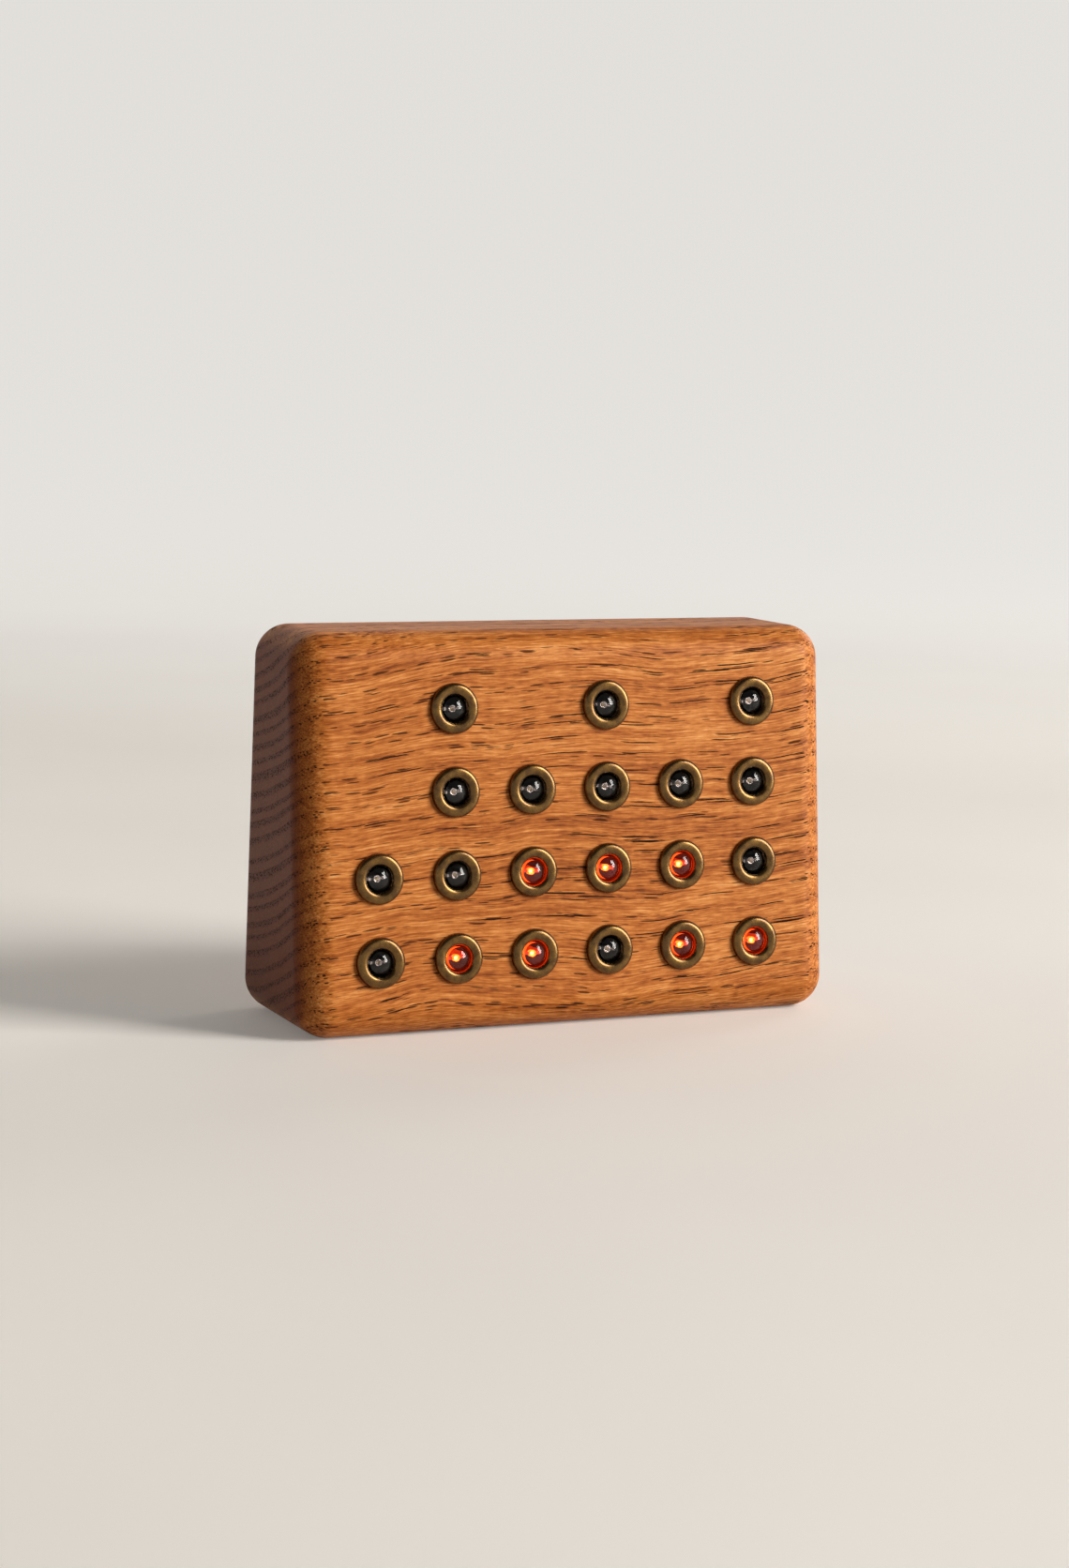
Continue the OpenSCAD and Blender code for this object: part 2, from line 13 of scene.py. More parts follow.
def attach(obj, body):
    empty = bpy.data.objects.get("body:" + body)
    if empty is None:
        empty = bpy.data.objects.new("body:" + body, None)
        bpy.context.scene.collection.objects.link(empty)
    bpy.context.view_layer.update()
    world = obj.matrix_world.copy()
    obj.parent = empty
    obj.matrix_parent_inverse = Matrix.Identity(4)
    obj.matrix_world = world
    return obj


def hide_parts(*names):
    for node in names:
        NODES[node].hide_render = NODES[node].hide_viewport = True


MM = 0.001

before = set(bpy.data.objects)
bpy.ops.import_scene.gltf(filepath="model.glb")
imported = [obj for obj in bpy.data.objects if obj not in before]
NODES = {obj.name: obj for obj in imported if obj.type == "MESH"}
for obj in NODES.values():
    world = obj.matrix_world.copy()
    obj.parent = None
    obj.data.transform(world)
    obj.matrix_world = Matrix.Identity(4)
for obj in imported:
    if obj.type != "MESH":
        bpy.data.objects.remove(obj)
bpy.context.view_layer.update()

# ---- Sizes of the part, in millimetres ----

BODY_W, BODY_H, BASE_DEPTH, EDGE_R = 127.0, 87.0, 47.4, 7.4
FACE_LEAN, REAR_LEAN = math.radians(5.36), math.radians(3.9)
LED_PITCH, GRID_H, GRID_SHIFT = 18.0, 43.7, -1.2
BORE_R, FACE_WALL, BOARD_T = 3.45, 7.3, 1.6
POCKET_W, POCKET_H, POCKET_R = 101.4, 61.9, 5.0
COVER_W, COVER_H, COVER_R, COVER_T, COVER_GAP = 109.0, 69.5, 5.0, 3.0, 0.2
# The cover's screws: their holes reach this deep below its outer face, this far in from its edges
SCREW_HOLE_R, SCREW_HOLE_DEPTH, SCREW_INSET = 1.15, 10.15, 3.6
COVER_SCREW_R, INLET_HOLE_R, SWITCH_HOLE_R = SCREW_HOLE_R + 0.15, 4.15, 3.65
COVER_CHAMFER, HOLE_CHAMFER = 0.35, 0.2
# How far a cutter reaches past what it cuts, so that no thin skin is left
OVER = 0.5
LED_R, LED_RIM_R, LED_RIM_T, LED_LEN, LED_PROUD = 2.5, 2.9, 1.0, 8.6, 1.3
BEZEL_R, BEZEL_BORE_R, BEZEL_SHEET, BARREL_LEN = 5.55, 2.95, 0.45, 5.0
LED_DOME_H = 0.9
# A lit lens has a painted red glow on its flank above this height, standing in for the die's light inside the lens;
# the exponent flattens the top of the eyelet's roll
PAINTED_GLOW_FROM, ROLL_EASE = 6.55, 0.8
BRASS_SIDES, LENS_SIDES, HOLE_SIDES, SCREW_SIDES = 96, 64, 48, 24
DIGITS = ["hour_tens", "hour_ones", "minute_tens", "minute_ones", "second_tens", "second_ones"]
BITS = [2, 4, 3, 4, 3, 4]
VALUES = [1, 2, 4, 8]
LIT = {
    "hour_ones_1", "minute_tens_1", "minute_tens_2", "minute_ones_2",
    "second_tens_1", "second_tens_2", "second_ones_1",
}

# Height of the middle of the pocket and of the cover, level with the middle of the board that holds the LEDs
INNER_H = GRID_H - (FACE_WALL + BOARD_T / 2) * math.sin(FACE_LEAN)


def face_y(z):
    return -BASE_DEPTH / 2 + z * math.tan(FACE_LEAN)


def rear_y(z):
    return BASE_DEPTH / 2 - z * math.tan(REAR_LEAN)


FACE_FRAME = Matrix.Translation((0, face_y(GRID_H), GRID_H)) @ Matrix.Rotation(-FACE_LEAN, 4, "X")
REAR_FRAME = Matrix.Translation((0, rear_y(INNER_H), INNER_H)) @ Matrix.Rotation(REAR_LEAN, 4, "X")
OUT_OF_FACE = Matrix.Rotation(math.radians(90), 4, "X")
TO_METRES = Matrix.Scale(MM, 4)


def lamp_frame(column, row):
    """Millimetres, z out of the face, from the surface of the oak."""
    at = Vector(((column - 2.5) * LED_PITCH + GRID_SHIFT, 0, (row - 1.5) * LED_PITCH))
    return FACE_FRAME @ Matrix.Translation(at) @ OUT_OF_FACE


# ---- Material helpers ----


class Nodes:
    """Builds one material's node tree in few words."""

    def __init__(self, name):
        self.material = bpy.data.materials.new(name)
        self.material.use_nodes = True
        self.tree = self.material.node_tree
        self.tree.nodes.clear()
        self.out = self.add("OutputMaterial")
        self.shader = self.add("BsdfPrincipled")
        self.link(self.shader.outputs[0], self.out.inputs["Surface"])

    def add(self, kind, **settings):
        node = self.tree.nodes.new("ShaderNode" + kind)
        for key, value in settings.items():
            setattr(node, key, value)
        return node

    def link(self, source, target):
        self.tree.links.new(source, target)

    def feed(self, socket, value):
        if isinstance(value, bpy.types.NodeSocket):
            self.link(value, socket)
        elif value is not None:
            socket.default_value = value

    def set(self, **values):
        """Inputs of the shader, by name with _ for a space."""
        for key, value in values.items():
            self.feed(self.shader.inputs[key.replace("_", " ")], value)
        return self.material

    def math(self, op, a, b=None, clamp=False):
        node = self.add("Math", operation=op, use_clamp=clamp)
        for socket, value in zip(node.inputs, (a, b)):
            self.feed(socket, value)
        return node.outputs[0]

    def vmath(self, op, a, b=None):
        node = self.add("VectorMath", operation=op)
        self.feed(node.inputs[0], a)
        self.feed(node.inputs[1], b)
        return node.outputs["Value"] if op == "LENGTH" else node.outputs[0]

    def place(self):
        """Object coordinates in millimetres."""
        return self.vmath("MULTIPLY", self.add("TexCoord").outputs["Object"], (1000, 1000, 1000))

    def split(self, vector):
        return self.add_fed("SeparateXYZ", [vector]).outputs

    def join(self, x, y, z):
        return self.add_fed("CombineXYZ", [x, y, z]).outputs[0]

    def add_fed(self, kind, values):
        node = self.add(kind)
        for socket, value in zip(node.inputs, values):
            self.feed(socket, value)
        return node

    def noise(self, vector, scale, detail=2.0, rough=0.5):
        node = self.add("TexNoise")
        self.feed(node.inputs["Vector"], vector)
        node.inputs["Scale"].default_value = scale
        node.inputs["Detail"].default_value = detail
        node.inputs["Roughness"].default_value = rough
        node.inputs["Distortion"].default_value = 0.0
        return node.outputs[0]

    def cells(self, vector):
        """Distance to the nearest of scattered points, about one apart, and that point's own colour."""
        node = self.add("TexVoronoi", feature="F1")
        self.feed(node.inputs["Vector"], vector)
        node.inputs["Scale"].default_value = 1.0
        node.inputs["Randomness"].default_value = 1.0
        return node.outputs

    def fade(self, value, low, high, to_low=0.0, to_high=1.0):
        """Smooth step from to_low at low to to_high at high."""
        node = self.add("MapRange", interpolation_type="SMOOTHSTEP")
        for socket, v in zip(node.inputs, (value, low, high, to_low, to_high)):
            self.feed(socket, v)
        return node.outputs[0]

    def mix(self, share, a, b, how="MIX"):
        node = self.add("Mix", data_type="RGBA", blend_type=how)
        self.feed(node.inputs["Factor"], share)
        colours = [s for s in node.inputs if s.type == "RGBA"]
        self.feed(colours[0], a)
        self.feed(colours[1], b)
        return [s for s in node.outputs if s.type == "RGBA"][0]

    def ramp(self, value, stops):
        node = self.add("ValToRGB")
        self.feed(node.inputs[0], value)
        band = node.color_ramp
        band.interpolation = "LINEAR"
        while len(band.elements) > 1:
            band.elements.remove(band.elements[-1])
        band.elements[0].position, band.elements[0].color = stops[0]
        for at, colour in stops[1:]:
            band.elements.new(at).color = colour
        return node.outputs[0]

    def bump(self, height, distance, strength):
        node = self.add("Bump")
        node.inputs["Strength"].default_value = strength
        node.inputs["Distance"].default_value = distance
        self.feed(node.inputs["Height"], height)
        return node.outputs[0]


def rgb(code):
    """A linear colour from the hex code of the colour as seen."""
    parts = [int(code[i : i + 2], 16) / 255 for i in (1, 3, 5)]
    return tuple(c / 12.92 if c <= 0.04045 else ((c + 0.055) / 1.055) ** 2.4 for c in parts) + (1.0,)


# ---- Materials ----


# Growth rings, in millimetres: the pith lies along X, above and behind the block, and a ring is this wide
PITH_Y, PITH_Z, RING_WIDTH = 30.0, 138.0, 3.3


def oak(name, shift=(0.0, 0.0, 0.0)):
    """Solid oak: rings about a pith above the block's rear, pores and fibres along X, oiled."""
    m = Nodes(name)
    coords = m.add("TexCoord").outputs
    p = m.vmath("ADD", m.vmath("MULTIPLY", coords["Object"], (1000, 1000, 1000)), shift)
    x, y, z = m.split(p)[:3]
    end = m.fade(m.math("ABSOLUTE", m.split(coords["Normal"])[0]), 0.72, 1.0)
    side = m.math("SUBTRACT", 1.0, end)

    def stretched(along, across, gy, gz):
        return m.join(m.math("DIVIDE", x, along), m.math("DIVIDE", gy, across), m.math("DIVIDE", gz, across))

    def swing(value, by):
        return m.math("MULTIPLY", m.math("SUBTRACT", value, 0.5), by)

    # The grain wanders: slow bends of every fibre, small ripples on them
    bend = swing(m.noise(stretched(60.0, 75.0, y, z), 1.0, 1.0, 0.4), 12.0)
    wave = swing(m.noise(stretched(23.0, 34.0, y, z), 1.0, 2.0, 0.5), 2.4)
    # The grain climbs to the right at both ends and runs level in the middle
    bow = m.math("MULTIPLY", m.math("SINE", m.math("MULTIPLY", x, 0.0628)), 0.9)
    rise = m.math("SUBTRACT", bow, m.math("MULTIPLY", x, 0.055))
    gz = m.math("ADD", m.math("ADD", z, rise), m.math("ADD", bend, wave))
    gy = m.math("ADD", y, m.math("MULTIPLY", wave, 0.6))
    # Rings about the pith, with a row of large pores where each begins
    dy = m.math("SUBTRACT", gy, PITH_Y)
    dz = m.math("SUBTRACT", gz, PITH_Z)
    radius = m.math("SQRT", m.math("ADD", m.math("MULTIPLY", dy, dy), m.math("MULTIPLY", dz, dz)))
    uneven = m.noise(m.join(0.0, 0.0, m.math("MULTIPLY", radius, 0.07)), 1.0, 2.0, 0.6)
    count = m.math("ADD", m.math("DIVIDE", radius, RING_WIDTH), m.math("MULTIPLY", uneven, 2.6))
    ring = m.math("FRACT", count)
    early = m.math("MULTIPLY", m.fade(ring, 0.0, 0.08), m.fade(ring, 0.62, 0.28))
    # Fibres, from hair lines to broad bands, and faint ripples across them
    hair = swing(m.noise(stretched(9.0, 0.33, gy, gz), 1.0, 3.0, 0.6), 1.35)
    strand = swing(m.noise(stretched(26.0, 0.95, gy, gz), 1.0, 3.0, 0.6), 0.7)
    band = swing(m.noise(stretched(55.0, 4.6, gy, gz), 1.0, 2.0, 0.5), 0.75)
    fleck = swing(m.noise(stretched(2.4, 0.42, gy, gz), 1.0, 2.0, 0.5), 0.7)
    ripple = swing(m.noise(stretched(1.5, 4.0, gy, gz), 1.0, 2.0, 0.5), 0.2)
    # The broad tones fade on the end grain, where the rings show instead
    broad = m.math("ADD", m.math("ADD", strand, band), ripple)
    broad = m.math("MULTIPLY", broad, m.math("ADD", m.math("MULTIPLY", side, 0.8), 0.2))
    rings = m.math("MULTIPLY", early, m.math("ADD", 0.05, m.math("MULTIPLY", end, 0.15)))
    tone = m.math("ADD", m.math("ADD", hair, fleck), broad)
    tone = m.math("SUBTRACT", m.math("ADD", tone, 0.52), rings)
    colour = m.ramp(tone, [
        (0.00, rgb("#753811")),
        (0.22, rgb("#9c511c")),
        (0.50, rgb("#c27130")),
        (0.78, rgb("#e0924c")),
        (1.00, rgb("#f0b06c")),
    ])
    colour = m.mix(m.math("MULTIPLY", end, 0.8), colour, rgb("#93643f"), "MULTIPLY")
    ragged = swing(m.noise(stretched(1.4, 0.3, gy, gz), 1.0, 2.0, 0.5), 0.22)

    def pores(length, width, shift_by, low, high):
        v = m.vmath("ADD", stretched(length, width, gy, gz), (shift_by, 0.0, 0.0))
        cell = m.cells(v)
        near = m.math("ADD", cell["Distance"], m.math("MULTIPLY", ragged, side))
        return m.fade(near, high, low), m.split(cell["Color"])[0]

    def chosen(value, share, chance):
        return m.math("MULTIPLY", value, m.fade(m.math("SUBTRACT", share, chance), 0.0, 0.08))

    # Short thick pores towards the left, long thin ones towards the right
    rightward = m.fade(m.math("ADD", x, bend), -30.0, 25.0)
    leftward = m.math("SUBTRACT", 1.0, rightward)
    big, chance = pores(6.0, 0.6, 0.0, 0.27, 0.37)
    share = m.math("MULTIPLY", early, m.math("ADD", m.math("MULTIPLY", leftward, 0.6), 0.3))
    big = chosen(big, share, chance)
    long, chance = pores(19.0, 0.5, 7.3, 0.26, 0.34)
    share = m.math("MULTIPLY", early, m.math("ADD", m.math("MULTIPLY", rightward, 0.7), 0.25))
    long = chosen(long, share, chance)
    small, chance = pores(4.0, 0.42, 3.1, 0.2, 0.34)
    small = chosen(small, m.math("ADD", m.math("MULTIPLY", early, 0.25), 0.1), chance)
    short = m.math("MAXIMUM", big, m.math("MULTIPLY", small, 0.7))
    colour = m.mix(m.math("MULTIPLY", short, 0.85), colour, rgb("#3a1c0c"))
    colour = m.mix(m.math("MULTIPLY", long, 0.97), colour, rgb("#1b0c04"))
    pore = m.math("MAXIMUM", m.math("MAXIMUM", big, long), m.math("MULTIPLY", small, 0.6), clamp=True)
    height = m.math("SUBTRACT", m.math("MULTIPLY", m.math("ADD", hair, fleck), 0.3), pore)
    rough = m.math("ADD", m.math("MULTIPLY", hair, 0.25), m.math("ADD", 0.46, m.math("MULTIPLY", pore, 0.5)))
    return m.set(
        Base_Color=colour,
        Roughness=rough,
        Specular_IOR_Level=0.16,
        Normal=m.bump(height, 0.00012, 0.6),
    )


def antique_brass(name):
    """Darkened brass under a thin worn lacquer."""
    m = Nodes(name)
    p = m.place()
    mottle = m.noise(p, 0.55, 4.0, 0.6)
    scuff = m.noise(m.vmath("MULTIPLY", p, (2.5, 2.5, 9.0)), 1.0, 3.0, 0.6)
    spots = m.fade(m.noise(p, 2.2, 3.0, 0.6), 0.62, 0.74)
    colour = m.mix(m.fade(mottle, 0.3, 0.7), rgb("#533a1d"), rgb("#745528"))
    colour = m.mix(m.math("MULTIPLY", spots, 0.5), colour, rgb("#3a2412"))
    dull = m.math("ADD", 0.2, m.math("MULTIPLY", spots, 0.12))
    rough = m.math("ADD", m.math("MULTIPLY", scuff, 0.14), dull)
    return m.set(
        Base_Color=colour,
        Metallic=1.0,
        Roughness=rough,
        Coat_Weight=0.3,
        Coat_Roughness=0.2,
        Normal=m.bump(scuff, 0.00003, 0.35),
    )


def plain(name, colour, dark, rough, metallic=0.0, grain=3.0, bump=0.00003):
    """Moulded plastic or metal with a fine grain and slight unevenness."""
    m = Nodes(name)
    p = m.place()
    cloud = m.noise(p, 0.35, 3.0, 0.55)
    fine = m.noise(p, grain, 3.0, 0.6)
    tone = m.mix(m.fade(cloud, 0.3, 0.7), rgb(dark), rgb(colour))
    return m.set(
        Base_Color=tone,
        Metallic=metallic,
        Roughness=m.math("ADD", m.math("MULTIPLY", fine, 0.18), rough - 0.09),
        Normal=m.bump(fine, bump, 0.5),
    )


# Millimetres from one track of a circuit board to the next
TRACK_PITCH = 1.27


def board(name, colour, dark, track):
    """Circuit board: solder mask over patches of straight tracks, raised a little."""
    m = Nodes(name)
    p = m.place()
    x, _, z = m.split(p)[:3]

    def tracks(across, along, shift):
        lane = m.math("FRACT", m.math("DIVIDE", across, TRACK_PITCH))
        middle = m.math("ABSOLUTE", m.math("SUBTRACT", lane, 0.5))
        lane_at = m.math("DIVIDE", m.math("SNAP", across, TRACK_PITCH), 5.0)
        where = m.join(lane_at, m.math("DIVIDE", along, 16.0), shift)
        return m.math("MULTIPLY", m.fade(middle, 0.2, 0.14), m.fade(m.noise(where, 1.0, 1.0, 0.5), 0.5, 0.52))

    raised = m.math("MAXIMUM", tracks(x, z, 0.0), tracks(z, x, 7.0))
    tone = m.mix(m.fade(m.noise(p, 0.35, 3.0, 0.55), 0.3, 0.7), rgb(dark), rgb(colour))
    return m.set(
        Base_Color=m.mix(m.math("MULTIPLY", raised, 0.6), tone, rgb(track)),
        Roughness=m.math("ADD", m.math("MULTIPLY", m.noise(p, 3.0, 3.0, 0.6), 0.15), 0.25),
        Normal=m.bump(raised, 0.00005, 0.6),
    )


OAK = oak("oak_oiled")
COVER_OAK = oak("oak_cover", (31.0, 64.0, 17.0))
BRASS = antique_brass("brass_antique")
STEEL = plain("steel_zinc", "#b9bcc0", "#8f9296", 0.34, 1.0)
TIN = plain("tinned_wire", "#c9ccce", "#a5a8aa", 0.3, 1.0)
BLACK = plain("plastic_black", "#242424", "#171717", 0.45)
BUTTON = plain("plastic_button", "#2b2b2c", "#1b1b1c", 0.36)
STRIP = plain("plastic_strip", "#1d1d1e", "#141415", 0.5)
CHIP = plain("chip_black", "#26272a", "#1a1b1d", 0.55)
GREEN = board("board_green", "#1f6a3f", "#17502f", "#348a55")
BLUE = board("board_blue", "#134a7c", "#0e3860", "#2a6ba5")
CELL = plain("cell_steel", "#cfd0d1", "#a9aaac", 0.25, 1.0)
TAN = plain("resistor_tan", "#cfa870", "#b08a55", 0.4)
RED = plain("wire_red", "#a8201c", "#7f1512", 0.42)
for material, names in {
    BRASS: ["cover_screws"],
    TIN: ["led_legs"],
    STEEL: ["board_screws", "panel_nuts"],
    BLACK: ["power_socket", "set_switches", "coin_holder"],
    BUTTON: ["hour_button", "minute_button"],
    STRIP: ["header_sockets", "pin_headers"],
    CHIP: ["module_chips"],
    GREEN: ["display_board"],
    BLUE: ["controller_board", "clock_board"],
    CELL: ["coin_cell"],
    TAN: ["resistors"],
    RED: ["wiring"],
}.items():
    for name in names:
        for slot in NODES[name].material_slots:
            slot.material = material

# ---- Finish of the CAD nodes that stay ----


def smooth_but_crisp():
    """A modifier's node group: smooth faces, with edges sharper than 35 degrees left crisp."""
    group = bpy.data.node_groups.new("smooth_but_crisp", "GeometryNodeTree")
    group.is_modifier = True
    for side in ("INPUT", "OUTPUT"):
        group.interface.new_socket("Geometry", in_out=side, socket_type="NodeSocketGeometry")
    start, end = group.nodes.new("NodeGroupInput"), group.nodes.new("NodeGroupOutput")
    faces, edges = (group.nodes.new("GeometryNodeSetShadeSmooth") for _ in range(2))
    faces.domain, edges.domain = "FACE", "EDGE"
    edges.inputs["Shade Smooth"].default_value = False
    angle = group.nodes.new("GeometryNodeInputMeshEdgeAngle")
    over = group.nodes.new("FunctionNodeCompare")
    over.data_type, over.operation = "FLOAT", "GREATER_THAN"
    over.inputs[1].default_value = math.radians(35)
    group.links.new(angle.outputs["Unsigned Angle"], over.inputs[0])
    group.links.new(start.outputs[0], faces.inputs["Geometry"])
    group.links.new(faces.outputs[0], edges.inputs["Geometry"])
    group.links.new(over.outputs[0], edges.inputs["Selection"])
    group.links.new(edges.outputs[0], end.inputs[0])
    return group


SMOOTH = smooth_but_crisp()
# Width of each node's broken edges, in millimetres
EDGES = {
    "cover_screws": 0.12, "board_screws": 0.1, "panel_nuts": 0.18, "power_socket": 0.22, "set_switches": 0.2,
    "hour_button": 0.08, "minute_button": 0.08, "coin_holder": 0.12, "coin_cell": 0.12, "header_sockets": 0.1,
    "pin_headers": 0.08, "module_chips": 0.08, "display_board": 0.06, "controller_board": 0.06,
    "clock_board": 0.06, "led_legs": 0.0, "resistors": 0.0, "wiring": 0.0,
}
for name, width in EDGES.items():
    if width:
        step = NODES[name].modifiers.new("edges", "BEVEL")
        step.width, step.segments, step.limit_method = width * MM, 2, "ANGLE"
        step.angle_limit = math.radians(40)
    step = NODES[name].modifiers.new("smooth", "NODES")
    step.node_group = SMOOTH

# ---- Meshes ----


def new_object(name, mesh, material, slot, *replaced, body="clock"):
    piece = bpy.data.objects.new(name, mesh)
    bpy.context.scene.collection.objects.link(piece)
    mesh.materials.append(material)
    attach(piece, body)
    if replaced:
        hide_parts(*replaced)
    return piece


def turned(profile, segments):
    """Mesh of (radius, z) points turned about z; points at radius 0 become one vertex."""
    bm = bmesh.new()
    turns = [2 * math.pi * k / segments for k in range(segments)]
    rings = []
    for r, z in profile:
        if r < 1e-9:
            rings.append([bm.verts.new((0, 0, z))])
        else:
            rings.append([bm.verts.new((r * math.cos(a), r * math.sin(a), z)) for a in turns])
    for a, b in zip(rings, rings[1:]):
        for k in range(segments):
            j = (k + 1) % segments
            if len(a) == 1 and len(b) == 1:
                continue
            if len(a) == 1:
                bm.faces.new((a[0], b[j], b[k]))
            elif len(b) == 1:
                bm.faces.new((a[k], a[j], b[0]))
            else:
                bm.faces.new((a[k], a[j], b[j], b[k]))
    bmesh.ops.recalc_face_normals(bm, faces=bm.faces)
    for face in bm.faces:
        face.smooth = True
    return bm


def mesh_of(bm, name, matrix):
    mesh = bpy.data.meshes.new(name)
    bm.transform(TO_METRES @ matrix)
    bm.to_mesh(mesh)
    bm.free()
    return mesh


# ---- Oak block and rear cover ----


def block_form(arc_steps=14):
    """The block with its edges and corners rounded, as one smooth closed mesh in millimetres."""
    def inset_face(z):
        return face_y(z) + EDGE_R / math.cos(FACE_LEAN)

    def inset_rear(z):
        return rear_y(z) - EDGE_R / math.cos(REAR_LEAN)

    low, high = EDGE_R, BODY_H - EDGE_R
    centres = [
        (inset_face(low), low), (inset_rear(low), low), (inset_rear(high), high), (inset_face(high), high),
    ]
    # Outward directions of the face, base, rear and top, as angles in the yz plane
    turns = [-math.pi - FACE_LEAN, -math.pi / 2, REAR_LEAN, math.pi / 2, math.pi - FACE_LEAN]
    bm = bmesh.new()
    previous = None
    for side in (-1, 1):
        for i in range(arc_steps + 1):
            tilt = math.pi / 2 * (1 - i / arc_steps) if side < 0 else math.pi / 2 * i / arc_steps
            x = side * (BODY_W / 2 - EDGE_R + EDGE_R * math.sin(tilt))
            reach = EDGE_R * math.cos(tilt)
            pole = tilt > math.pi / 2 - 1e-6
            ring = []
            for corner, (cy, cz) in enumerate(centres):
                start, stop = turns[corner], turns[corner + 1]
                for k in range(arc_steps + 1):
                    if pole and k:
                        ring.append(ring[-1])
                        continue
                    a = start + (stop - start) * k / arc_steps
                    ring.append(bm.verts.new((x, cy + reach * math.cos(a), cz + reach * math.sin(a))))
            if previous:
                for k in range(len(ring)):
                    j = (k + 1) % len(ring)
                    loop = []
                    for v in (previous[k], previous[j], ring[j], ring[k]):
                        if v not in loop:
                            loop.append(v)
                    if len(loop) > 2:
                        bm.faces.new(loop)
            if pole:
                corners = [ring[k] for k in range(0, len(ring), arc_steps + 1)]
                bm.faces.new(corners)
            previous = ring
    bmesh.ops.recalc_face_normals(bm, faces=bm.faces)
    return bm


def rounded_plate(width, height, radius, low, high, steps=10, chamfer=0.0):
    """A plate in the xy plane from z = low to high, its upper edge chamfered."""
    bm = bmesh.new()

    def outline(inset, z):
        loop = []
        for corner in range(4):
            cx = (width / 2 - radius) * (1 if corner in (0, 3) else -1)
            cy = (height / 2 - radius) * (1 if corner < 2 else -1)
            for k in range(steps + 1):
                a = math.pi / 2 * (corner + k / steps)
                x, y = cx + (radius - inset) * math.cos(a), cy + (radius - inset) * math.sin(a)
                loop.append(bm.verts.new((x, y, z)))
        return loop

    loops = [outline(0, low)]
    if chamfer:
        for k in range(5):
            a = math.pi / 2 * k / 4
            loops.append(outline(chamfer * (1 - math.cos(a)), high - chamfer * (1 - math.sin(a))))
    else:
        loops.append(outline(0, high))
    for a, b in zip(loops, loops[1:]):
        for k in range(len(a)):
            j = (k + 1) % len(a)
            bm.faces.new((a[k], a[j], b[j], b[k]))
    bm.faces.new(loops[0][::-1])
    bm.faces.new(loops[-1])
    bmesh.ops.recalc_face_normals(bm, faces=bm.faces)
    return bm


def drill(radius, low, high, at, segments=HOLE_SIDES, flare=0.0):
    """A round cutter along z with its mouth widened by a small chamfer at the high end."""
    profile = [(0.0, low), (radius, low)]
    if flare:
        profile += [(radius, high - flare), (radius + 2 * flare, high + flare)]
        top = high + flare
    else:
        profile += [(radius, high)]
        top = high
    bm = turned(profile + [(0.0, top)], segments)
    bm.transform(at)
    return bm


def carve(name, form, cutters):
    """The mesh of a form in metres after its cutters are taken away, with smooth rounds and crisp edges."""
    def as_object(bm, label):
        mesh = bpy.data.meshes.new(label)
        bm.transform(TO_METRES)
        bm.to_mesh(mesh)
        bm.free()
        thing = bpy.data.objects.new(label, mesh)
        bpy.context.scene.collection.objects.link(thing)
        return thing

    body = as_object(form, name + "_form")
    tools = bpy.data.collections.new(name + "_cutters")
    bpy.context.scene.collection.children.link(tools)
    made = []
    for number, cutter in enumerate(cutters):
        tool = as_object(cutter, f"{name}_cutter_{number}")
        bpy.context.scene.collection.objects.unlink(tool)
        tools.objects.link(tool)
        made.append(tool)
    step = body.modifiers.new("cut", "BOOLEAN")
    step.operation, step.solver = "DIFFERENCE", "EXACT"
    step.operand_type, step.collection = "COLLECTION", tools
    step.use_self = True
    bpy.context.view_layer.update()
    mesh = bpy.data.meshes.new_from_object(body.evaluated_get(bpy.context.evaluated_depsgraph_get()))
    mesh.name = name
    for thing in [body] + made:
        old = thing.data
        bpy.data.objects.remove(thing)
        bpy.data.meshes.remove(old)
    bpy.data.collections.remove(tools)
    mesh.materials.clear()
    for polygon in mesh.polygons:
        polygon.use_smooth = True
    mesh.set_sharp_from_angle(angle=math.radians(35))
    return mesh


def settle_normals(piece):
    step = piece.modifiers.new("normals", "WEIGHTED_NORMAL")
    step.keep_sharp = True
    step.weight = 100


def on_cover(x, y):
    """Millimetres, z out of the rear cover, x to the right as seen from behind."""
    outward = Matrix.Rotation(math.radians(-90), 4, "X")
    about = Matrix.Rotation(math.radians(180), 4, "Z")
    return REAR_FRAME @ outward @ about @ Matrix.Translation((x, y, 0))


SCREW_PLACES = [
    (sx * (COVER_W / 2 - SCREW_INSET), sy * (COVER_H / 2 - SCREW_INSET)) for sx in (-1, 1) for sy in (-1, 1)
]
INLET_AT, HOUR_AT, MINUTE_AT = (-40.5, -20.75), (40.5, 20.75), (40.5, 6.75)

pocket = rounded_plate(POCKET_W, POCKET_H, POCKET_R, 0.0, 2 * BASE_DEPTH)
pocket.transform(Matrix.Translation((0, 0, INNER_H)) @ Matrix.Rotation(math.radians(-90), 4, "X"))
